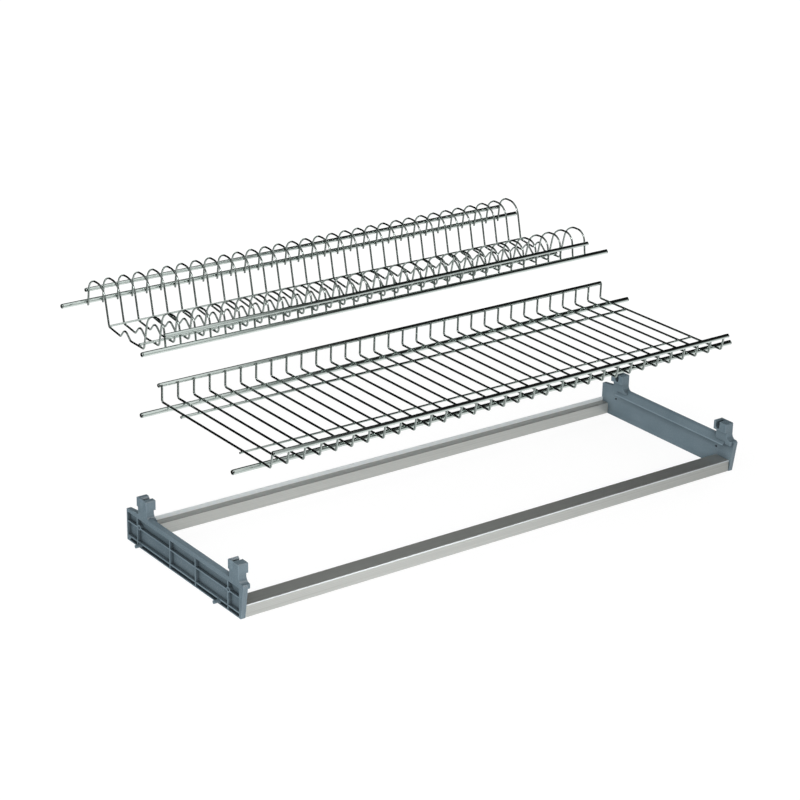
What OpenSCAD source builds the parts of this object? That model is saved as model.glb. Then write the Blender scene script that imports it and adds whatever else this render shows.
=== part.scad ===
// Dish rack set for a wall cabinet: a frame of two end brackets and two
// aluminium profiles, a flat wire rack for cups and a hooped wire rack for
// plates. All lengths are in millimetres, +Z is up and +X runs along the rods.
// The frame is centred on x = 0, y = 0 is midway between its rod seats, and
// z = 0 is its underside. Both racks stand apart from it, as photographed.

/* [Whole set] */
// clear width between the cabinet's side panels
frame_w = 864; // [464:50:1064]
// distance between the two support rods that hang in the brackets
rod_spacing = 226; // [212:2:240]
// height of the cup rack above its seats in the brackets
cup_lift = 130.5; // [0:0.5:200]
// plate rack's corner line behind the middle of the frame
plate_back = 437; // [400:1:600]
// plate rack's sideways place
plate_side = 93; // [0:1:150]
// plate rack's corner line above the frame's underside
plate_rise = 198; // [120:1:260]

/* [Wires and rods] */
// diameter of the cross wires and hoops
wire_d = 3; // [2.4:0.2:3.4]
// distance from wire to wire
wire_pitch = 25; // [22:1:30]
// diameter of the four long support rods
support_d = 7; // [6:0.5:7.5]
// diameter of the upper rails
rail_d = 6; // [5:0.5:6.5]
// diameter of the second rod under each rack's floor
floor_rod_d = 4; // [3:0.5:4.5]
// diameter of the thinnest rods
thin_rod_d = 3; // [2.5:0.25:3.5]

/* [Cup rack] */
// how far the cup rack's floor reaches behind its rear support rod
cup_rear_over = 16; // [10:1:20]
// how far the cup rack's floor reaches in front of its front support rod
cup_front_over = 24; // [14:1:30]
// height of the cup rack's upturned wire ends
cup_wall_h = 24.4; // [20:0.2:32]

/* [Plate rack] */
// front to back depth of one plate hoop
hoop_depth = 224; // [216:2:240]
// height of the hoops' tops over the corner line
hoop_h = 56.8; // [50:0.2:64]

/* [Brackets] */
// height of a bracket's towers over its underside
tower_top = 74.5; // [70:0.5:84]
// thickness of the bracket's panel with its ribs
panel_t = 7; // [6:0.5:7.5]
// thickness of the web behind the ribs
web_t = 2; // [1.5:0.25:3]
// thickness of the ribs
rib_t = 2; // [1.5:0.25:2.5]
// diameter of the locating pegs
peg_d = 5; // [4:0.5:5]
// how far the pegs stand out from the bracket
peg_l = 8; // [6:0.5:10]
// diameter of the two screw holes
screw_d = 4; // [3:0.5:4.5]

/* [Profiles] */
// height of both aluminium profiles
profile_h = 17; // [15:0.5:18]
// depth of the front profile
front_profile_w = 29; // [26:0.5:29]
// depth of the rear profile
rear_profile_w = 15; // [13:0.5:15]
// wall thickness of the profiles
profile_wall = 1.5; // [1:0.1:2]
// how far each bracket's plug reaches into a profile
plug_l = 20; // [10:1:30]

/* [Hidden] */
// quality of curves
$fn = 48;
// clearance that keeps touching pieces from overlapping
gap = 0.05;
// overrun that lets a cutter pass a face
over = 1;
// plane between the frame and a side panel
outer_x = frame_w / 2;
// inner face of a bracket's panel
inner_x = outer_x - panel_t;
// clearance between the end of a support rod and its pocket
pocket_end_gap = 0.4;
// wall that closes each pocket towards the side panel
pocket_wall = 1.6;
// half length of the support rods
support_half = outer_x - pocket_wall - pocket_end_gap;
// rough clear length between an end wire and the outer plane
end_wire_gap = 44.5;
// number of wires in each rack, always even
wire_n = 2 * round((outer_x - end_wire_gap) / wire_pitch);
// half the span over the wires' centres
wires_half = (wire_n - 1) * wire_pitch / 2;
// how far the rails reach past the end wires
rail_over = 3.5;
// half length of the upper rails
rail_half = wires_half + rail_over;
// how far the thin rods reach past the end wires
thin_over = 2.5;
// half length of the thin rods
thin_half = wires_half + thin_over;
// bevel at the rods' cut ends
rod_bevel = 0.6;
// how much thicker the wire is in its bends
bend_swell = 0.04;
// how far each straight reaches into its bends
bend_bite = 0.2;
// number of nodes that share the wires of one rack
groups = 8;
// node that is drawn, or all of them

// Wires and rods

// unit direction from one point to the next
function heading(a, b) = (b - a) / norm(b - a);
// angle of a direction in degrees
function bearing(d) = atan2(d[1], d[0]);
// signed turn between two directions, within half a turn
function turn_of(d, e) = atan2(d[0] * e[1] - d[1] * e[0], d[0] * e[0] + d[1] * e[1]);
// straight length that a bend takes from each side of its corner
function setback(p, r, i) = (i == 0 || i == len(p) - 1) ? 0 :
    r[i] * tan(abs(turn_of(heading(p[i - 1], p[i]), heading(p[i], p[i + 1]))) / 2);
// place along the straight that follows point i, at a given height
function at_height(p, i, h) = p[i][0] + (p[i + 1][0] - p[i][0]) * (h - p[i][1]) / (p[i + 1][1] - p[i][1]);
// sideways allowance for a rod that leans on a sloping straight
function lean(p, i) = norm(p[i + 1] - p[i]) / abs(p[i + 1][1] - p[i][1]);

// round wire along a flat path with a bend radius at each corner
module flat_wire(p, r) {
    last = len(p) - 1;
    for (i = [0 : last - 1]) {
        d = heading(p[i], p[i + 1]);
        a = setback(p, r, i) - (i == 0 ? 0 : bend_bite);
        b = setback(p, r, i + 1) - (i == last - 1 ? 0 : bend_bite);
        translate(p[i] + d * a)
            rotate([0, 90, bearing(d)])
                cylinder(h = norm(p[i + 1] - p[i]) - a - b, d = wire_d);
    }
    for (i = [1 : last - 1]) {
        d = heading(p[i - 1], p[i]);
        t = turn_of(d, heading(p[i], p[i + 1]));
        side = sign(t);
        start = p[i] - d * setback(p, r, i);
        translate(start + side * r[i] * [-d[1], d[0]])
            rotate(bearing(d) - side * 90 + min(t, 0))
                rotate_extrude(angle = abs(t))
                    translate([r[i], 0])
                        circle(d = wire_d + bend_swell);
    }
}

// the wires of one group, side by side at the wire pitch
module wire_group(g, p, r) {
    for (i = [0 : wire_n - 1])
        if (floor(i * groups / wire_n) == g - 1)
            translate([i * wire_pitch - wires_half, 0, 0])
                rotate([90, 0, 90])
                    flat_wire(p, r);
}

// straight rod along x with bevelled ends
module rod(half, d) {
    rotate([0, 90, 0]) {
        translate([0, 0, rod_bevel - half])
            cylinder(h = 2 * (half - rod_bevel), d = d);
        for (m = [0, 1])
            mirror([0, 0, m])
                translate([0, 0, half - rod_bevel])
                    cylinder(h = rod_bevel, d1 = d, d2 = d - 2 * rod_bevel);
    }
}

// Cup rack

// depth of a seated support rod's centre below the towers' tops
seat_depth = 8.5;
// height of a seated support rod's centre over the frame's underside
seat_z = tower_top - seat_depth;
// front to back depth of the cup rack's floor
cup_depth = cup_rear_over + rod_spacing + cup_front_over;
// drop from the floor wires' centre to a support rod's centre
cup_drop = (wire_d + support_d) / 2 + gap;
// bend radius at the rear of a cup wire
cup_rear_bend = 3.4;
// bend radius at the front of a cup wire
cup_front_bend = 2.6;
// bend radius at each corner of a cup wire, with none at its ends
cup_bends = [0, cup_rear_bend, cup_front_bend, 0];
// outward lean of the front upturned ends
cup_front_lean = 5;
// inward lean of the rear upturned ends
cup_rear_lean = 0.5;
// how much lower the front upturned ends stop
cup_front_drop = 0.4;
// distance of the rear rail's centre below the rear upturned ends
cup_rear_rail_drop = 1.8;
// distance of the front rail's centre below the front upturned ends
cup_front_rail_drop = 0.5;
// height of the cup rack's rear rail over its floor
cup_rear_rail_z = cup_wall_h - cup_rear_rail_drop;
// height of the cup rack's front rail over its floor
cup_front_rail_z = cup_wall_h - cup_front_drop - cup_front_rail_drop;
// second rod's place in front of the rear bend
cup_rear_floor_y = 54;
// third rod's place behind the front bend
cup_front_floor_y = 67;
// path of one cup wire, in the rack's own plane
cup_path = [
    [-cup_rear_lean, cup_wall_h],
    [0, 0],
    [-cup_depth, 0],
    [-cup_depth - cup_front_lean, cup_wall_h - cup_front_drop]
];

module cup_place() {
    translate([0, rod_spacing / 2 + cup_rear_over, seat_z + cup_drop + cup_lift])
        children();
}

module cup_rod(y, z, half, d) {
    color("silver")
        cup_place()
            translate([0, y, z])
                rod(half, d);
}

module cup_rear_rail() {
    y = at_height(cup_path, 0, cup_rear_rail_z) + (wire_d + rail_d) / 2 + gap;
    cup_rod(y, cup_rear_rail_z, rail_half, rail_d);
}

module cup_rear_support() {
    cup_rod(-cup_rear_over, -cup_drop, support_half, support_d);
}

module cup_rear_floor_rod() {
    cup_rod(-cup_rear_floor_y, -(wire_d + floor_rod_d) / 2 - gap, rail_half, floor_rod_d);
}

module cup_front_floor_rod() {
    cup_rod(cup_front_floor_y - cup_depth, -(wire_d + thin_rod_d) / 2 - gap, rail_half, thin_rod_d);
}

module cup_front_support() {
    cup_rod(-cup_rear_over - rod_spacing, -cup_drop, support_half, support_d);
}

module cup_front_rail() {
    reach = ((wire_d + rail_d) / 2 + gap) * lean(cup_path, 2);
    cup_rod(at_height(cup_path, 2, cup_front_rail_z) - reach, cup_front_rail_z, rail_half, rail_d);
}

module cup_wires(g) {
    color("gainsboro")
        cup_place()
            wire_group(g, cup_path, cup_bends);
}

// Plate rack

// corners of a plate hoop, as shares of its depth and its height
hoop_shares = [
    [0.277, 0.229], [0.253, 1], [0.062, 0.993], [0, -0.035],
    [-0.150, -0.111], [-0.210, 0.148], [-0.279, -0.088], [-0.449, -0.092],
    [-0.512, 0.942], [-0.700, 0.937], [-0.722, 0.229]
];
// bend radius at each corner of a plate hoop, as a share of its height
hoop_bend_shares = [0, 0.352, 0.423, 0.07, 0.062, 0.141, 0.07, 0.07, 0.458, 0.3, 0];
// path of one plate hoop, in the rack's own plane
hoop_path = [for (s = hoop_shares) [s[0] * hoop_depth, s[1] * hoop_h]];
// height of the front legs' ends
front_leg_end = hoop_path[len(hoop_path) - 1][1];
// bend radii of one plate hoop
hoop_bends = [for (s = hoop_bend_shares) s * hoop_h];
// the first straight of a hoop is its rear leg
rear_leg = 0;
// the last straight of a hoop is its front leg
front_leg = len(hoop_shares) - 2;
// the low floor in front of the ridge lies three straights before it
floor_leg = front_leg - 3;
// height of the plate rack's rear rail, below the hoops' tops
plate_rear_rail_drop = 19.8;
// height of the plate rack's front rail, below the hoops' tops
plate_front_rail_drop = 21.8;
// height of the rear support rod over the rear legs' ends
plate_rear_support_rise = 5;
// height of the front support rod over the front legs' ends
plate_front_support_rise = 2.5;
// distance of the floor rod in front of the low floor's rear end
plate_floor_in = 28;
// distance of the corner rod in front of the corner line
plate_corner_y = 4.2;

module plate_rod(y, z, half, d) {
    color("silver")
        translate([plate_side, plate_back + y, plate_rise + z])
            rod(half, d);
}

// rod that leans on the outside of a hoop's end leg
module leg_rod(leg, side, z, half, d) {
    reach = ((wire_d + d) / 2 + gap) * lean(hoop_path, leg);
    plate_rod(at_height(hoop_path, leg, z) + side * reach, z, half, d);
}

module plate_rear_rail() {
    leg_rod(rear_leg, 1, hoop_h - plate_rear_rail_drop, rail_half, rail_d);
}

module plate_rear_support() {
    leg_rod(rear_leg, 1, hoop_path[0][1] + plate_rear_support_rise, support_half, support_d);
}

module plate_corner_rod() {
    rise = hoop_path[3] + (hoop_path[4] - hoop_path[3]) * plate_corner_y / norm(hoop_path[4] - hoop_path[3]);
    plate_rod(-plate_corner_y, rise[1] + (wire_d + thin_rod_d) / 2 + 2 * gap, thin_half, thin_rod_d);
}

module plate_floor_rod() {
    level = hoop_path[floor_leg][1] + (wire_d + floor_rod_d) / 2 + gap;
    plate_rod(hoop_path[floor_leg][0] - plate_floor_in, level, thin_half, floor_rod_d);
}

module plate_front_rail() {
    leg_rod(front_leg, -1, hoop_h - plate_front_rail_drop, rail_half, rail_d);
}

module plate_front_support() {
    leg_rod(front_leg, -1, front_leg_end + plate_front_support_rise, support_half, support_d);
}

module plate_hoops(g) {
    color("gainsboro")
        translate([plate_side, plate_back, plate_rise])
            wire_group(g, hoop_path, hoop_bends);
}

// End brackets

// drop from the towers' tops to the top of the ribbed outer face
band_drop = 25;
// height of the top of the ribbed outer face
band_top = tower_top - band_drop;
// height of the flange's ridge over that edge
ridge_rise = 3;
// height of the flange's ridge over the underside
ridge_z = band_top + ridge_rise;
// height of the plain band along the top of the outer face
band_h = 7;
// lower edge of that band, where the recesses start
band_low = band_top - band_h;
// height of the lip at the flange's inner edge
lip_z = band_low;
// distance of the ridge behind the outer plane
ridge_in = 5;
// distance of the lip behind the outer plane
lip_in = 16;
// thickness of the flange
flange_t = 2;
// distance from the front rod seat to the front of its tower
front_tower_front = 17;
// distance from the front rod seat to the back of its tower
front_tower_back = 8;
// distance from the rear rod seat to the front of its tower
rear_tower_front = 12;
// distance from the rear rod seat to the back of its tower
rear_tower_back = 13;
// distance that the flange stops behind the front tower's face
flange_short = 3;
// height of the towers' heads
head_h = 14;
// underside of the towers' heads
head_low = tower_top - head_h;
// width of the towers' heads along the rods
head_w = 15;
// width of the towers' necks along the rods
neck_w = 12;
// how much the necks draw in behind the heads' backs
neck_in = 3;
// radius of the concave sweep in front of each neck
sweep_r = 9;
// how far each sweep dips under the edge that it meets
sweep_dip = 0.6;
// small bevel along the top of each head
head_bevel = 1;
// bevel at the back of each pocket's mouth
mouth_bevel = 2.5;
// play of a support rod in its pocket
pocket_play = 0.8;
// width of the pocket that holds a support rod's end
pocket_w = support_d + pocket_play;
// distance from the rear rod seat to the bracket's rear end
rear_over = 41;
// bracket's rear end
rear_end_y = rod_spacing / 2 + rear_over;
// distance from the front rod seat to the foot of the bracket's front face
front_over = 22;
// foot of the bracket's front face
front_low_y = -rod_spacing / 2 - front_over;
// forward lean of the front face
front_lean = 7;
// top of the bracket's front face
front_high_y = front_low_y - front_lean;
// depth of the solid column at the front face's foot
column_d = 4;
// rounding over the top of the column
column_bevel = 2.5;
// drop of the panel's top edge towards the rear end
rear_drop = 3;
// distance that the notch behind the rear tower reaches
notch_w = 4;
// places of the upright ribs behind the front rod seat, as shares of the spacing
rib_shares = [0.04, 0.394, 0.681, 1.058];
// centres of the upright ribs
rib_y = [for (s = rib_shares) s * rod_spacing - rod_spacing / 2];
// height of the low long rib
low_rib_z = 7.5;
// distance of the middle long rib below the outer face's top
mid_rib_drop = 20.5;
// centres of the long ribs
long_rib_z = [low_rib_z, band_top - mid_rib_drop];
// height of the rim along the underside
foot_rim = 1.5;
// outer radius of the screw bosses
boss_r = 4;
// distance of the screw holes below the outer face's top
screw_drop = 19.5;
// height of the screw holes
screw_z = band_top - screw_drop;
// distance of each screw hole behind a rod seat
screw_shift = 8;
// height of the locating pegs
peg_z = 4.5;
// distance of the front peg behind the front rod seat
front_peg_in = 31;
// distance of the rear peg behind the rear rod seat
rear_peg_out = 5;
// places of the two pegs
peg_y = [front_peg_in - rod_spacing / 2, rear_peg_out + rod_spacing / 2];
// width of the collar around each peg's root
peg_collar = 1.4;
// how far the round corner boss is inset at the rear
corner_inset = 5;
// diameter of the small hole in front of the front peg
pin_hole_d = 3;
// distance of that hole in front of the peg
pin_hole_out = 8;

// solid along x from an outline seen from the side, first and last depth
module side_slab(from, to) {
    translate([from - outer_x, 0, 0])
        rotate([90, 0, 90])
            linear_extrude(to - from)
                children();
}

// outline of the panel below the towers, seen from the side
module panel_outline() {
    polygon([
        [rear_end_y, 0],
        [front_low_y, 0],
        [front_high_y, band_top - column_bevel],
        [front_high_y + column_bevel, band_top],
        [rod_spacing / 2 + rear_tower_back + notch_w, band_top],
        [rear_end_y, band_top - rear_drop]
    ]);
}

// head and neck of one tower, reaching back and front from its rod seat
module tower(seat, back, front) {
    side_slab(0, head_w)
        translate([seat, 0])
            polygon([
                [back, head_low],
                [back, tower_top - head_bevel],
                [back - head_bevel, tower_top],
                [head_bevel - front, tower_top],
                [-front, tower_top - head_bevel],
                [-front, head_low]
            ]);
    side_slab(0, neck_w)
        translate([seat, 0])
            difference() {
                translate([-front - sweep_r, band_low])
                    square([back - neck_in + front + sweep_r, head_low - band_low + over]);
                translate([-front - sweep_r, band_top + sweep_r - sweep_dip])
                    circle(sweep_r);
                translate([-front - sweep_r - over, band_top + sweep_r - sweep_dip])
                    square([sweep_r + over, head_low - band_low]);
            }
}

// pocket that takes a support rod from above
module rod_pocket(seat) {
    side_slab(pocket_wall, head_w + over)
        translate([seat, 0]) {
            translate([0, seat_z + (pocket_w - support_d) / 2])
                circle(d = pocket_w);
            translate([-pocket_w / 2, seat_z + (pocket_w - support_d) / 2])
                square([pocket_w, tower_top]);
            polygon([
                [0, tower_top - mouth_bevel - pocket_w / 2],
                [pocket_w / 2 + mouth_bevel, tower_top],
                [pocket_w / 2 + mouth_bevel, tower_top + over],
                [0, tower_top + over]
            ]);
        }
}

// sloping flange over the outer band, with its lip towards the racks
module flange() {
    drop = (ridge_z - lip_z) / (lip_in - ridge_in);
    translate([-outer_x, rod_spacing / 2, 0])
        rotate([90, 0, 0])
            linear_extrude(rod_spacing + front_tower_front - flange_short)
                polygon([
                    [0, band_low],
                    [0, band_top],
                    [ridge_in, ridge_z],
                    [lip_in, lip_z],
                    [lip_in, lip_z - flange_t],
                    [panel_t - over, lip_z - flange_t + drop * (lip_in - panel_t + over)],
                    [panel_t - over, band_low]
                ]);
}

// one recess between the ribs, from corner to corner
module recess(y0, z0, y1, z1) {
    translate([-outer_x - over, y0, z0])
        cube([panel_t - web_t + over, y1 - y0, z1 - z0]);
}

// recesses of the ribbed outer face, column by column and row by row
module recesses() {
    h = rib_t / 2;
    starts = concat([front_low_y + column_d], [for (y = rib_y) y + h]);
    ends = concat([for (y = rib_y) y - h], [rear_end_y - rib_t]);
    lows = [foot_rim, long_rib_z[0] + h, long_rib_z[1] + h];
    tops = [long_rib_z[0] - h, long_rib_z[1] - h, band_low];
    for (c = [0 : len(starts) - 1])
        for (row = [0 : len(lows) - 1])
            recess(starts[c], lows[row], ends[c], tops[row]);
}

// peg, screw boss or corner boss on the outer face
module stud(y, z, out, r) {
    translate([-outer_x - out, y, z])
        rotate([0, 90, 0])
            cylinder(h = out + panel_t - web_t / 2, r = r);
}

// plug that reaches into a profile's end
module plug(front, depth) {
    play = profile_wall + 2 * gap;
    translate([-inner_x - over, front + play, play])
        cube([plug_l + over, depth - 2 * play, profile_h - 2 * play]);
}

// places of the two screw holes
screw_y = [screw_shift - rod_spacing / 2, screw_shift + rod_spacing / 2];
// distance of the front profile behind the foot of the bracket's front face
front_profile_in = 1;
// front face of the front profile
front_profile_y = front_low_y + front_profile_in;
// front face of the rear profile
rear_profile_y = rear_end_y - rear_profile_w;

module bracket() {
    difference() {
        union() {
            difference() {
                side_slab(0, panel_t)
                    panel_outline();
                recesses();
            }
            flange();
            tower(-rod_spacing / 2, front_tower_back, front_tower_front);
            tower(rod_spacing / 2, rear_tower_back, rear_tower_front);
            for (y = screw_y)
                stud(y, screw_z, 0, boss_r);
            for (y = peg_y) {
                stud(y, peg_z, peg_l, peg_d / 2);
                stud(y, peg_z, 0, peg_d / 2 + peg_collar);
            }
            stud(rear_end_y - corner_inset, corner_inset, 0, boss_r);
            plug(front_profile_y, front_profile_w);
            plug(rear_profile_y, rear_profile_w);
        }
        for (y = [-rod_spacing / 2, rod_spacing / 2])
            rod_pocket(y);
        for (y = screw_y)
            translate([-outer_x - over, y, screw_z])
                rotate([0, 90, 0])
                    cylinder(h = head_w, d = screw_d);
        translate([-outer_x - over, peg_y[0] - pin_hole_out, peg_z])
            rotate([0, 90, 0])
                cylinder(h = head_w, d = pin_hole_d);
    }
}

module left_bracket() {
    color("slategray")
        bracket();
}

module right_bracket() {
    color("slategray")
        mirror([1, 0, 0])
            bracket();
}

// Aluminium profiles

// bevel along the front profile's top edge
profile_bevel = 1.2;
// height of the upstand along the rear profile's back
upstand_h = 6;
// thickness of that upstand
upstand_t = 2;

// hollow profile from its outline and the depth of its hollow
module profile(front, depth) {
    half = inner_x - gap;
    translate([-half, front, 0])
        rotate([90, 0, 90])
            linear_extrude(2 * half)
                difference() {
                    children();
                    translate([profile_wall, profile_wall])
                        square([depth - 2 * profile_wall, profile_h - 2 * profile_wall]);
                }
}

module front_profile() {
    color("lightgray")
        profile(front_profile_y, front_profile_w)
            polygon([
                [0, 0],
                [front_profile_w, 0],
                [front_profile_w, profile_h],
                [profile_bevel, profile_h],
                [0, profile_h - profile_bevel]
            ]);
}

module rear_profile() {
    color("lightgray")
        profile(rear_profile_y, rear_profile_w)
            polygon([
                [0, 0],
                [rear_profile_w, 0],
                [rear_profile_w, profile_h + upstand_h],
                [rear_profile_w - upstand_t, profile_h + upstand_h],
                [rear_profile_w - upstand_t, profile_h],
                [0, profile_h]
            ]);
}

left_bracket();
right_bracket();
front_profile();
rear_profile();
cup_rear_rail();
cup_rear_support();
cup_rear_floor_rod();
cup_front_floor_rod();
cup_front_support();
cup_front_rail();
for (g = [1 : groups])
    cup_wires(g);
plate_rear_rail();
plate_rear_support();
plate_corner_rod();
plate_floor_rod();
plate_front_rail();
plate_front_support();
for (g = [1 : groups])
    plate_hoops(g);
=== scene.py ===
"""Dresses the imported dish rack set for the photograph's view."""
import math

import bmesh
import bpy
from mathutils import Matrix, Vector


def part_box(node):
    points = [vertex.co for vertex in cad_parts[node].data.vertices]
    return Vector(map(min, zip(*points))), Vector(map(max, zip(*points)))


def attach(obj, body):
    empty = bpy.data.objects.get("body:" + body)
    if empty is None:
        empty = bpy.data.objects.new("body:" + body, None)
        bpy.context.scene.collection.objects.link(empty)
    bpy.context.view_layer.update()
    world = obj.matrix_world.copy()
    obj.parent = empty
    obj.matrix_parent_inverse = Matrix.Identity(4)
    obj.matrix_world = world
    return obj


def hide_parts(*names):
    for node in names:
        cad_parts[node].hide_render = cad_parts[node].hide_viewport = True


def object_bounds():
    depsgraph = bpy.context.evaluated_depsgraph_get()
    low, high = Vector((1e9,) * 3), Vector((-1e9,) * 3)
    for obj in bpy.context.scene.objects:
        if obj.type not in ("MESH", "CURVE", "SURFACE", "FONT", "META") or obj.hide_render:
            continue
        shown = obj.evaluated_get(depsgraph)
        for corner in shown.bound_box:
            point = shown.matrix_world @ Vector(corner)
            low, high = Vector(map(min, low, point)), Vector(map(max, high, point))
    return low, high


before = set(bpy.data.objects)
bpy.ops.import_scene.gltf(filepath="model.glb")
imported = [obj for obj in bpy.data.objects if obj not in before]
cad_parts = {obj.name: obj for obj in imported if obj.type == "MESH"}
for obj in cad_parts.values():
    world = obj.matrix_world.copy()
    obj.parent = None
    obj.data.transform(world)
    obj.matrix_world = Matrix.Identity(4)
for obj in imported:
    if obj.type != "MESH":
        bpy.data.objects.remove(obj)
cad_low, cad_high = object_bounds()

MM = 0.001

# Camera, from matching the cup rack's wires and rods in the photograph
CAMERA_AT = Vector((-1.84344, -2.36570, 1.36165))
CAMERA_YAW = -0.639093
CAMERA_PITCH = 0.38103
CAMERA_ROLL = 0.0216367
CAMERA_REACH = 50
FOCAL_PX = 2305.4
IMAGE_PX = 800
SENSOR_MM = 36.0

# Wires and rods, in metres
WIRE_R = 1.5 * MM
WIRE_PITCH = 25 * MM
WIRES = 32
GROUPS = 8
ROD_SIDES = 32
WIRE_SIDES = 14
BEND_STEP = math.radians(9)
ALONG = Vector((1, 0, 0))

# The rods' radius is this much less than in CAD, so that they rest clear of the pockets' facets
SEAT_PLAY = 0.02 * MM

# A tube's end bevel, its shortest long straight, and how far inside that its shading is held,
# all in radii of the tube
END_BEVEL = 0.22
LONG_STRAIGHT = 4
HOLD = 0.5

# Half sizes of a weld bead: along the rod, along the wire, and through both
BEAD = (1.7 * MM, 1.7 * MM, 0.9 * MM)
BEAD_SIDES = 10
BEAD_ROWS = 6

# One cup wire: corners (y, z) from its rear end, and the bend radius at each
CUP_CORNERS = [(-0.5, 24.4), (0, 0), (-266, 0), (-271, 24.0)]
CUP_BENDS = [0, 3.4, 2.6, 0]

# Where each rack's wires have their rear lower corner, midway between its two middle wires
CUP_AT = Vector((0, 129, 201.55)) * MM
PLATE_AT = Vector((93, 437, 198)) * MM

# One plate hoop: corners as shares of its depth and height, and its bends
HOOP_DEPTH = 224
HOOP_HEIGHT = 56.8
HOOP_SHARES = [
    (0.277, 0.229), (0.253, 1), (0.062, 0.993), (0, -0.035),
    (-0.150, -0.111), (-0.210, 0.148), (-0.279, -0.088), (-0.449, -0.092),
    (-0.512, 0.942), (-0.700, 0.937), (-0.722, 0.229),
]
HOOP_BEND_SHARES = [0, 0.352, 0.423, 0.07, 0.062, 0.141, 0.07, 0.07, 0.458, 0.3, 0]
HOOP_BENDS = [share * HOOP_HEIGHT for share in HOOP_BEND_SHARES]
HOOP_CORNERS = [(y * HOOP_DEPTH, z * HOOP_HEIGHT) for y, z in HOOP_SHARES]

CUP_RODS = [
    "cup_rear_rail", "cup_rear_support", "cup_rear_floor_rod",
    "cup_front_floor_rod", "cup_front_support", "cup_front_rail",
]
PLATE_RODS = [
    "plate_rear_rail", "plate_rear_support", "plate_corner_rod",
    "plate_floor_rod", "plate_front_rail", "plate_front_support",
]

# Rounded edges of the frame's pieces
BRACKET_EDGE = 0.5 * MM
PROFILE_EDGE = 0.4 * MM
EDGE_SEGMENTS = 2
EDGE_ANGLE = math.radians(40)

# For each material: the tints at two levels of its noise, the roughness at the noise's ends,
# the scale and detail of each noise, and the strength and depth of the relief
CHROME_TINTS = [(0.3, (0.63, 0.705, 0.67)), (0.7, (0.73, 0.80, 0.765))]
CHROME_GLOSS = (0.05, 0.11)
CHROME_CLOUD = (38, 3)
CHROME_GRAIN = (160, 2)
CHROME_RELIEF = (0.05, 0.1 * MM)

WELD_TINTS = [(0.3, (0.20, 0.22, 0.22)), (0.7, (0.42, 0.45, 0.44))]
WELD_GLOSS = (0.25, 0.45)
WELD_GRAIN = (900, 4)
WELD_RELIEF = (0.5, 0.3 * MM)

PLASTIC_TINTS = [(0.25, (0.130, 0.178, 0.208)), (0.75, (0.155, 0.205, 0.236))]
PLASTIC_GLOSS = (0.20, 0.32)
PLASTIC_CLOUD = (22, 4)
PLASTIC_GRAIN = (1600, 2)
PLASTIC_RELIEF = (0.25, 0.2 * MM)

ALUMINIUM_TINTS = [(0.3, (0.57, 0.58, 0.555)), (0.7, (0.66, 0.67, 0.645))]
ALUMINIUM_GLOSS = (0.30, 0.42)
ALUMINIUM_LINES = (900, 3)
ALUMINIUM_STRETCH = (0.004, 1, 1)
ALUMINIUM_RELIEF = (0.1, 0.1 * MM)

# Painted shade on the plastic in its hollows and on faces that look up, and a painted highlight at
# thin edges:
# the range of what is measured, and the amounts at its two ends
HOLLOW_REACH = 16 * MM
PAINTED_HOLLOW_SHADE = (0.35, 0.98, 0.30, 1.0)
THIN_REACH = 2.2 * MM
PAINTED_THIN_HIGHLIGHT = (0.2, 0.8, 1.35, 1.0)
PAINTED_PLASTIC_TOP_SHADE = (0.3, 0.6, 1, 0.70)
OCCLUSION_SAMPLES = 8

# Painted highlight: the aluminium's bevels between front and top, and its raised strip, are
# painted paler and made less metallic
HIGHLIGHT_EDGE_SLOPE = (-0.45, -0.15, 1, 0)
RAISED_STRIP_HIGHLIGHT = (17.4 * MM, 18.0 * MM, 0, 1)
METAL_SHARE = (0, 1, 0.6, 0.3)
PAINTED_HIGHLIGHT_COLOUR = (0.82, 0.86, 0.87, 1)
# Painted shade: the aluminium's faces that look up are painted darker
PAINTED_ALUMINIUM_TOP_SHADE = (0.8, 0.95, 1, 0.56)


def bent_path(corners, bends):
    """Points along straights and round bends, in millimetres."""
    pts = [Vector(c) for c in corners]
    out = [pts[0]]
    for i in range(1, len(pts) - 1):
        a = (pts[i] - pts[i - 1]).normalized()
        b = (pts[i + 1] - pts[i]).normalized()
        turn = math.atan2(a.x * b.y - a.y * b.x, a.dot(b))
        r = bends[i]
        back = r * math.tan(abs(turn) / 2)
        side = 1 if turn > 0 else -1
        start = pts[i] - a * back
        centre = start + Vector((-a.y, a.x)) * side * r
        steps = max(2, math.ceil(abs(turn) / BEND_STEP))
        for k in range(steps + 1):
            angle = turn * k / steps
            arm = start - centre
            c, s = math.cos(angle), math.sin(angle)
            out.append(centre + Vector((arm.x * c - arm.y * s, arm.x * s + arm.y * c)))
    out.append(pts[-1])
    return out


def held_straights(stations, radius):
    """Adds a station near both ends of each long straight, so that its shading stays straight."""
    out = stations[:1]
    for (a, _, r_a), (b, dir_b, r_b) in zip(stations, stations[1:]):
        run = b - a
        if run.length > LONG_STRAIGHT * radius and r_a == r_b:
            along = run.normalized()
            inward = along * radius * HOLD
            out += [(a + inward, along, r_a), (b - inward, along, r_a)]
        out.append((b, dir_b, r_b))
    return out


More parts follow.
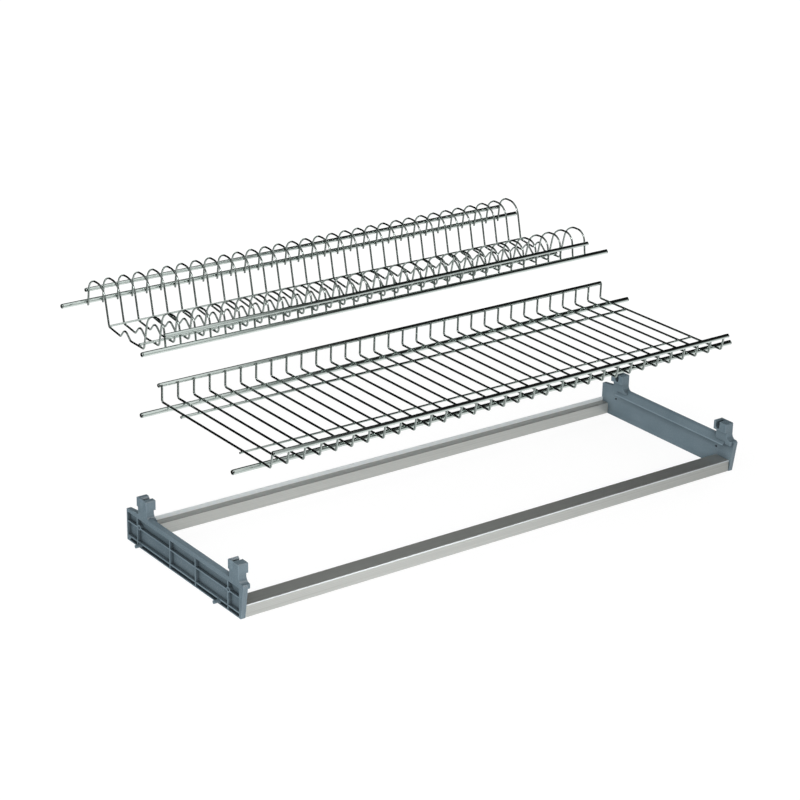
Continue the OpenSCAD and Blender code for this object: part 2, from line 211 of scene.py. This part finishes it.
def add_tube(bm, path, radius, sides, across):
    """Sweeps a round tube with bevelled ends along a flat path."""
    bevel = radius * END_BEVEL
    n = len(path)
    dirs = [(path[min(i + 1, n - 1)] - path[max(i - 1, 0)]).normalized() for i in range(n)]
    first_in, last_in = path[0] + dirs[0] * bevel, path[-1] - dirs[-1] * bevel
    stations = [(path[0], dirs[0], radius - bevel), (first_in, dirs[0], radius)]
    stations += [(path[i], dirs[i], radius) for i in range(1, n - 1)]
    stations += [(last_in, dirs[-1], radius), (path[-1], dirs[-1], radius - bevel)]
    rings = []
    for at, along, r in held_straights(stations, radius):
        up = along.cross(across).normalized()
        ring = []
        for k in range(sides):
            t = math.tau * k / sides
            ring.append(bm.verts.new(at + (across * math.cos(t) + up * math.sin(t)) * r))
        rings.append(ring)
    for a, b in zip(rings, rings[1:]):
        for k in range(sides):
            j = (k + 1) % sides
            face = bm.faces.new((a[k], b[k], b[j], a[j]))
            face.smooth = True
    bm.faces.new(rings[0])
    bm.faces.new(list(reversed(rings[-1])))


def unit_ball(around, down):
    """Points and faces of a ball of radius 1 with poles at its two ends."""
    points = [Vector((0, 0, 1))]
    for j in range(1, down):
        tilt = math.pi * j / down
        for k in range(around):
            turn = math.tau * k / around
            flat = math.sin(tilt)
            points.append(Vector((flat * math.cos(turn), flat * math.sin(turn), math.cos(tilt))))
    points.append(Vector((0, 0, -1)))
    last = len(points) - 1
    faces = []
    for k in range(around):
        j = (k + 1) % around
        faces.append((0, 1 + k, 1 + j))
        faces.append((last, last - around + j, last - around + k))
        for row in range(down - 2):
            a, b = 1 + row * around, 1 + (row + 1) * around
            faces.append((a + k, b + k, b + j, a + j))
    return points, faces


def nearest_on(path, point):
    """The point of a flat path that lies nearest to another point."""
    best = path[0]
    for a, b in zip(path, path[1:]):
        run = b - a
        share = min(1, max(0, (point - a).dot(run) / run.length_squared))
        spot = a + run * share
        if (spot - point).length < (best - point).length:
            best = spot
    return best


def finish_mesh(bm, name, material, body):
    """Turns a bmesh into a named piece that rides on a body."""
    bmesh.ops.recalc_face_normals(bm, faces=bm.faces)
    mesh = bpy.data.meshes.new(name)
    bm.to_mesh(mesh)
    bm.free()
    mesh.materials.append(material)
    obj = bpy.data.objects.new(name, mesh)
    bpy.context.scene.collection.objects.link(obj)
    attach(obj, body)
    return obj


# Nodes

def node_material(name):
    """A new node material, its tree and its shader."""
    mat = bpy.data.materials.new(name)
    mat.use_nodes = True
    return mat, mat.node_tree, mat.node_tree.nodes["Principled BSDF"]


def add_node(tree, kind, inputs, operation=None):
    """Adds a node, with each input linked to a socket or set to a value."""
    node = tree.nodes.new("ShaderNode" + kind)
    if operation:
        node.operation = operation
    for key, value in inputs.items():
        if isinstance(value, bpy.types.NodeSocket):
            tree.links.new(value, node.inputs[key])
        else:
            node.inputs[key].default_value = value
    return node


def split(tree, coordinate):
    """The X, Y and Z of one of the texture coordinates."""
    vector = add_node(tree, "TexCoord", {}).outputs[coordinate]
    return add_node(tree, "SeparateXYZ", {"Vector": vector}).outputs


def noise(tree, scale, detail, stretch=(1, 1, 1)):
    """Noise in object space, stretched along the axes."""
    place = add_node(tree, "TexCoord", {}).outputs["Object"]
    mapping = add_node(tree, "Mapping", {"Vector": place, "Scale": stretch})
    texture = add_node(tree, "TexNoise", {
        "Vector": mapping.outputs["Vector"], "Scale": scale, "Detail": detail})
    return texture.outputs["Fac"]


def ramp(tree, source, stops):
    """A colour ramp through a list of (place, colour)."""
    node = add_node(tree, "ValToRGB", {"Fac": source})
    elements = node.color_ramp.elements
    while len(elements) < len(stops):
        elements.new(0.5)
    for element, (place, colour) in zip(elements, stops):
        element.position = place
        element.color = (*colour, 1)
    return node.outputs["Color"]


def fade(tree, source, start, end, low, high):
    """Turns start..end into low..high, and holds the end values beyond."""
    node = add_node(tree, "MapRange", {
        "Value": source, "From Min": start, "From Max": end, "To Min": low, "To Max": high})
    return node.outputs["Result"]


def combine(tree, operation, first, *others):
    """One number after another joined to the first by the same operation."""
    for other in others:
        first = add_node(tree, "Math", {0: first, 1: other}, operation).outputs["Value"]
    return first


def occlusion(tree, reach, inside):
    """How open a spot is, or with inside how thick the part is there."""
    node = add_node(tree, "AmbientOcclusion", {"Distance": reach})
    node.inside = inside
    node.only_local = True
    node.samples = OCCLUSION_SAMPLES
    return node.outputs["AO"]


def scale_colour(tree, colour, amount):
    """A colour times a number."""
    return add_node(tree, "VectorMath", {0: colour, "Scale": amount}, "SCALE").outputs["Vector"]


def set_surface(tree, shader, colour, roughness, height, relief):
    """Gives a shader its colour, its roughness and a fine relief."""
    tree.links.new(colour, shader.inputs["Base Color"])
    tree.links.new(roughness, shader.inputs["Roughness"])
    strength, depth = relief
    bump = add_node(tree, "Bump", {"Strength": strength, "Distance": depth, "Height": height})
    tree.links.new(bump.outputs["Normal"], shader.inputs["Normal"])


# Materials

def chrome_material():
    """Polished chrome plate on steel wire, faintly uneven."""
    mat, tree, shader = node_material("polished_chrome")
    shader.inputs["Metallic"].default_value = 1
    cloud = noise(tree, *CHROME_CLOUD)
    set_surface(tree, shader, ramp(tree, cloud, CHROME_TINTS),
                fade(tree, cloud, 0, 1, *CHROME_GLOSS), noise(tree, *CHROME_GRAIN), CHROME_RELIEF)
    return mat


def weld_material():
    """Plated weld beads, duller than the wire."""
    mat, tree, shader = node_material("plated_weld")
    shader.inputs["Metallic"].default_value = 1
    grain = noise(tree, *WELD_GRAIN)
    set_surface(tree, shader, ramp(tree, grain, WELD_TINTS),
                fade(tree, grain, 0, 1, *WELD_GLOSS), grain, WELD_RELIEF)
    return mat


def plastic_material():
    """Blue-grey moulded plastic, with painted shade in hollows and on faces that look up, and a
    painted highlight at thin edges.
    """
    mat, tree, shader = node_material("grey_moulded_plastic")
    colour = ramp(tree, noise(tree, *PLASTIC_CLOUD), PLASTIC_TINTS)
    for source, shade in (
        # Painted shade in hollows
        (occlusion(tree, HOLLOW_REACH, inside=False), PAINTED_HOLLOW_SHADE),
        # Painted highlight at thin edges
        (occlusion(tree, THIN_REACH, inside=True), PAINTED_THIN_HIGHLIGHT),
        # Painted shade on faces that look up
        (split(tree, "Normal")["Z"], PAINTED_PLASTIC_TOP_SHADE),
    ):
        colour = scale_colour(tree, colour, fade(tree, source, *shade))
    grain = noise(tree, *PLASTIC_GRAIN)
    set_surface(tree, shader, colour,
                fade(tree, grain, 0, 1, *PLASTIC_GLOSS), grain, PLASTIC_RELIEF)
    return mat


def aluminium_material():
    """Satin anodised aluminium with fine drawn lines along its length, a painted highlight on its
    bevels and raised strip, and painted shade on its top faces.
    """
    mat, tree, shader = node_material("satin_aluminium")
    lines = noise(tree, *ALUMINIUM_LINES, ALUMINIUM_STRETCH)
    facing = split(tree, "Normal")
    # Painted highlight on the bevels between front and top and on the raised strip, which are also
    # made less metallic
    slope = combine(tree, "MULTIPLY", facing["Y"], facing["Z"])
    edge = fade(tree, slope, *HIGHLIGHT_EDGE_SLOPE)
    raised = fade(tree, split(tree, "Object")["Z"], *RAISED_STRIP_HIGHLIGHT)
    painted_highlight = combine(tree, "MAXIMUM", edge, raised)
    tree.links.new(fade(tree, painted_highlight, *METAL_SHARE), shader.inputs["Metallic"])
    tint = ramp(tree, lines, ALUMINIUM_TINTS)
    # Painted shade on the faces that look up
    tint = scale_colour(tree, tint, fade(tree, facing["Z"], *PAINTED_ALUMINIUM_TOP_SHADE))
    mix = add_node(tree, "Mix", {"Factor": painted_highlight})
    mix.data_type = "RGBA"
    first, second, mixed = mix.inputs[6], mix.inputs[7], mix.outputs[2]
    tree.links.new(tint, first)
    second.default_value = PAINTED_HIGHLIGHT_COLOUR
    set_surface(tree, shader, mixed, fade(tree, lines, 0, 1, *ALUMINIUM_GLOSS),
                lines, ALUMINIUM_RELIEF)
    return mat


CHROME = chrome_material()
WELD = weld_material()
PLASTIC = plastic_material()
ALUMINIUM = aluminium_material()


# Racks

def make_rods(names, body):
    """Smooth rods in place of the CAD ones, each from its own box."""
    for name in names:
        low, high = (Vector(c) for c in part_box(name))
        middle = (low + high) / 2
        radius = (high.z - low.z) / 2 - SEAT_PLAY
        bm = bmesh.new()
        ends = [Vector((x, middle.y, middle.z)) for x in (low.x, middle.x, high.x)]
        add_tube(bm, ends, radius, ROD_SIDES, Vector((0, 1, 0)))
        rod = finish_mesh(bm, name + "_smooth", CHROME, body)
        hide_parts(name)


def wire_x(at, index):
    """Sideways place of one of a rack's wires."""
    return at.x + (index - (WIRES - 1) / 2) * WIRE_PITCH


def make_wires(prefix, at, path, body):
    """Smooth bent wires in place of each CAD group of wires."""
    per_group = WIRES // GROUPS
    for group in range(GROUPS):
        bm = bmesh.new()
        for k in range(per_group):
            x = wire_x(at, group * per_group + k)
            points = [Vector((x, at.y + p.x * MM, at.z + p.y * MM)) for p in path]
            add_tube(bm, points, WIRE_R, WIRE_SIDES, ALONG)
        name = f"{prefix}_{group + 1}"
        wires = finish_mesh(bm, name + "_smooth", CHROME, body)
        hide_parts(name)


def make_welds(name, at, path, rods, body):
    """A weld bead wherever a wire crosses a rod, flat against both."""
    ball, ball_faces = unit_ball(BEAD_SIDES, BEAD_ROWS)
    points, faces = [], []
    for rod in rods:
        low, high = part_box(rod)
        centre = Vector((low[1] + high[1] - 2 * at.y, low[2] + high[2] - 2 * at.z)) / (2 * MM)
        spot = nearest_on(path, centre)
        out = (centre - spot).normalized()
        touch = (spot + out * WIRE_R / MM) * MM
        outward = Vector((0, out.x, out.y))
        turn = Matrix((ALONG, outward.cross(ALONG), outward)).transposed()
        bead = [turn @ Vector((p.x * BEAD[0], p.y * BEAD[1], p.z * BEAD[2])) for p in ball]
        for index in range(WIRES):
            place = Vector((wire_x(at, index), at.y + touch.x, at.z + touch.y))
            first = len(points)
            points += [place + p for p in bead]
            faces += [tuple(first + i for i in face) for face in ball_faces]
    bm = bmesh.new()
    mesh = bpy.data.meshes.new(name + "_points")
    mesh.from_pydata(points, [], faces)
    bm.from_mesh(mesh)
    bpy.data.meshes.remove(mesh)
    for face in bm.faces:
        face.smooth = True
    finish_mesh(bm, name, WELD, body)


CUP_PATH = bent_path(CUP_CORNERS, CUP_BENDS)
HOOP_PATH = bent_path(HOOP_CORNERS, HOOP_BENDS)
make_rods(CUP_RODS, "cup_rack")
make_rods(PLATE_RODS, "plate_rack")
make_wires("cup_wires", CUP_AT, CUP_PATH, "cup_rack")
make_wires("plate_hoops", PLATE_AT, HOOP_PATH, "plate_rack")
make_welds("cup_welds", CUP_AT, CUP_PATH, CUP_RODS, "cup_rack")
make_welds("plate_welds", PLATE_AT, HOOP_PATH, PLATE_RODS, "plate_rack")


# Frame

def dress(name, material, width):
    """Gives a CAD node its material and softly rounded edges."""
    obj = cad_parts[name]
    obj.data.materials.clear()
    obj.data.materials.append(material)
    bevel = obj.modifiers.new("edges", "BEVEL")
    bevel.width = width
    bevel.segments = EDGE_SEGMENTS
    bevel.limit_method = "ANGLE"
    bevel.angle_limit = EDGE_ANGLE
    bevel.harden_normals = True


for name in ("left_bracket", "right_bracket"):
    dress(name, PLASTIC, BRACKET_EDGE)
for name in ("front_profile", "rear_profile"):
    dress(name, ALUMINIUM, PROFILE_EDGE)


# Camera, floor and light

# The studio is made of tones by direction, and each pair here is where along an axis a tone
# starts and ends, from -1 to 1. Its main part is pale below and in front, and dims towards
# the back, the left, the far right and the sky.
BACK_FADE = (0.15, 0.55)
LEFT_FADE = (0.0, 0.34)
LEFT_TONE = 0.10
RIGHT_FADE = (0.66, 0.80)
RIGHT_TONE = 0.12
SKY_FADE = (-0.85, 0.16)
FLOOR_TONE = 1.1
SKY_TONE = 0.004
BASE_TONE = 0.006

# The pale ground straight below reaches further back
GROUND_DROP = (-0.55, -0.43)
GROUND_BACK = (0.62, 0.72)
GROUND_RIGHT = (0.66, 0.86)
GROUND_LEFT = (0.22, 0.42)
GROUND_LEFT_TONE = 0.4
GROUND_TONE = 0.90

# Pale spots straight behind, overhead and to either side, that the chrome shows in other views
SPOT_BACK = (0.87, 0.93)
SPOT_UP = (0.90, 0.95)
SPOT_RIGHT = (0.84, 0.90)
SPOT_LEFT = (-0.84, -0.90)
SPOT_LEVEL = (-0.10, 0.0)
SPOT_TONE = 0.80
SPOT_UP_TONE = 0.30

# A tall bright panel on the right, which the rods show at their left ends
PANEL_IN = (0.34, 0.40)
PANEL_OUT = (0.485, 0.525)
PANEL_RISE = (-0.20, 0.05)
PANEL_BACK = (0.10, 0.40)
PANEL_TONE = 0.90

# The faint green of the studio's darker tones
STUDIO_TINTS = [(0, (0.0, 0.0, 0.0)), (0.25, (0.235, 0.25, 0.245)), (1, (1, 1, 1))]
WHITE = (1, 1, 1, 1)

# How much of the floor's own shade the camera sees, how far from the middle that ends,
# and the strength of the white that it mixes with
SHADOW_SHARE = 0.16
SHADOW_REACH = (0.45, 0.95)
FLOOR_WHITE = 1.07
FLOOR_TINTS = [(0, (0.80, 0.80, 0.80)), (1, (0.84, 0.84, 0.84))]
FLOOR_CLOUD = (3, 2)
FLOOR_ROUGHNESS = 0.9
FLOOR_HALF = 9
FLOOR_GAP = 0.5 * MM


def make_camera():
    """The photograph's camera."""
    yaw, pitch, roll = CAMERA_YAW, CAMERA_PITCH, CAMERA_ROLL
    level = math.cos(pitch)
    ahead = Vector((-math.sin(yaw) * level, math.cos(yaw) * level, -math.sin(pitch)))
    right = Vector((math.cos(yaw), math.sin(yaw), 0))
    up = right.cross(ahead)
    tilted_right = right * math.cos(roll) + up * math.sin(roll)
    tilted_up = up * math.cos(roll) - right * math.sin(roll)
    data = bpy.data.cameras.new("camera")
    data.sensor_width = SENSOR_MM
    data.lens = FOCAL_PX / IMAGE_PX * SENSOR_MM
    data.clip_end = CAMERA_REACH
    obj = bpy.data.objects.new("camera", data)
    bpy.context.scene.collection.objects.link(obj)
    axes = Matrix((tilted_right, tilted_up, -ahead)).transposed().to_4x4()
    obj.matrix_world = Matrix.Translation(CAMERA_AT) @ axes
    bpy.context.scene.camera = obj


def make_floor():
    """A white floor under the frame, which the camera sees as white with a faint shadow."""
    mesh = bpy.data.meshes.new("floor")
    z = cad_low[2] - FLOOR_GAP
    square = [(-1, -1), (1, -1), (1, 1), (-1, 1)]
    mesh.from_pydata([(x * FLOOR_HALF, y * FLOOR_HALF, z) for x, y in square],
                     [], [(0, 1, 2, 3)])
    obj = bpy.data.objects.new("floor", mesh)
    obj.location = ((cad_low[0] + cad_high[0]) / 2, (cad_low[1] + cad_high[1]) / 2, 0)
    bpy.context.scene.collection.objects.link(obj)
    mat, tree, shader = node_material("white_floor")
    tint = ramp(tree, noise(tree, *FLOOR_CLOUD), FLOOR_TINTS)
    tree.links.new(tint, shader.inputs["Base Color"])
    shader.inputs["Roughness"].default_value = FLOOR_ROUGHNESS
    white = add_node(tree, "Emission", {"Strength": FLOOR_WHITE})
    path = add_node(tree, "LightPath", {})
    place = add_node(tree, "TexCoord", {}).outputs["Object"]
    away = add_node(tree, "VectorMath", {0: place}, "LENGTH").outputs["Value"]
    share = fade(tree, away, *SHADOW_REACH, 1 - SHADOW_SHARE, 1)
    seen = combine(tree, "MULTIPLY", share, path.outputs["Is Camera Ray"])
    mix = add_node(tree, "MixShader", {0: seen, 1: shader.outputs[0], 2: white.outputs[0]})
    tree.links.new(mix.outputs[0], tree.nodes["Material Output"].inputs["Surface"])
    mesh.materials.append(mat)
    obj.visible_glossy = False


def make_world():
    """White to the camera, and for the chrome a studio with the tones above."""
    world = bpy.data.worlds.new("studio")
    bpy.context.scene.world = world
    world.use_nodes = True
    tree = world.node_tree
    axes = split(tree, "Generated")

    def tone(axis, span, low, high):
        return fade(tree, axes[axis], *span, low, high)

    main = combine(tree, "MULTIPLY",
                   tone("Y", BACK_FADE, 1, 0), tone("X", LEFT_FADE, LEFT_TONE, 1),
                   tone("X", RIGHT_FADE, 1, RIGHT_TONE), tone("Z", SKY_FADE, FLOOR_TONE, SKY_TONE))
    ground = combine(tree, "MULTIPLY",
                     tone("Z", GROUND_DROP, GROUND_TONE, 0), tone("Y", GROUND_BACK, 1, 0),
                     tone("X", GROUND_RIGHT, 1, RIGHT_TONE),
                     tone("X", GROUND_LEFT, GROUND_LEFT_TONE, 1))
    panel = combine(tree, "MULTIPLY",
                    tone("X", PANEL_IN, 0, 1), tone("X", PANEL_OUT, 1, 0),
                    tone("Z", PANEL_RISE, 0, PANEL_TONE), tone("Y", PANEL_BACK, 1, 0))
    sides = combine(tree, "MAXIMUM",
                    tone("X", SPOT_RIGHT, 0, SPOT_TONE), tone("X", SPOT_LEFT, 0, SPOT_TONE))
    spots = combine(tree, "MAXIMUM",
                    combine(tree, "MULTIPLY", sides, tone("Z", SPOT_LEVEL, 0, 1)),
                    tone("Y", SPOT_BACK, 0, SPOT_TONE), tone("Z", SPOT_UP, 0, SPOT_UP_TONE))
    studio = combine(tree, "ADD", combine(tree, "MAXIMUM", main, ground), panel)
    studio = combine(tree, "ADD", combine(tree, "MAXIMUM", studio, spots), BASE_TONE)
    dome = tree.nodes["Background"]
    tree.links.new(ramp(tree, studio, STUDIO_TINTS), dome.inputs["Color"])
    white = add_node(tree, "Background", {"Color": WHITE})
    path = add_node(tree, "LightPath", {})
    mix = add_node(tree, "MixShader", {
        0: path.outputs["Is Camera Ray"], 1: dome.outputs[0], 2: white.outputs[0]})
    tree.links.new(mix.outputs[0], tree.nodes["World Output"].inputs["Surface"])


def add_light(name, at, aim, size, power, seen=False, only=(), omit=(), spread=180):
    """A soft box that faces a point: gloss may show it, and it may light or omit a few pieces."""
    data = bpy.data.lights.new(name, "AREA")
    data.shape = "RECTANGLE"
    data.size, data.size_y = size
    data.energy = power
    data.spread = math.radians(spread)
    obj = bpy.data.objects.new(name, data)
    bpy.context.scene.collection.objects.link(obj)
    obj.location = at
    obj.rotation_euler = (Vector(aim) - Vector(at)).to_track_quat("-Z", "Y").to_euler()
    obj.visible_glossy = seen
    if only or omit:
        named = bpy.data.collections.new(name + "_pieces")
        for node in only or omit:
            named.objects.link(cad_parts[node])
        obj.light_linking.receiver_collection = named
        for entry in named.collection_objects:
            entry.light_linking.link_state = "EXCLUDE" if omit else "INCLUDE"


make_camera()
make_floor()
make_world()
add_light("key", at=(-1.3, -1.5, 2.1), aim=(0, 0, 0.1), size=(0.8, 0.8), power=14, seen=True)
add_light("front", at=(-1.6, -2.6, 1.0), aim=(0, 0, 0.1), size=(1.2, 1.2), power=62,
          omit=("front_profile",))
add_light("front_beam", at=(-0.45, -1.9, 0.9), aim=(-0.17, -0.15, 0), size=(0.6, 0.4),
          power=1.85, only=("front_profile",), spread=36)
add_light("top", at=(-0.4, -0.6, 2.6), aim=(0, 0.1, 0.1), size=(2.2, 2.2), power=10)
add_light("rear", at=(-0.6, 2.6, 0.9), aim=(0, 0.2, 0.1), size=(1.6, 1.6), power=40)
add_light("right", at=(2.8, 0.2, 0.8), aim=(0, 0.1, 0.1), size=(1.6, 1.6), power=26)
add_light("strip", at=(0.45, -0.55, 1.2), aim=(0.0, 0.05, 0), size=(1.0, 0.4), power=4.5,
          seen=True, only=("left_bracket", "right_bracket", "rear_profile"))
add_light("side", at=(-2.4, 0.2, 1.2), aim=(0, 0.1, 0.1), size=(1.6, 1.6), power=20)

bpy.context.scene.view_settings.view_transform = "Standard"
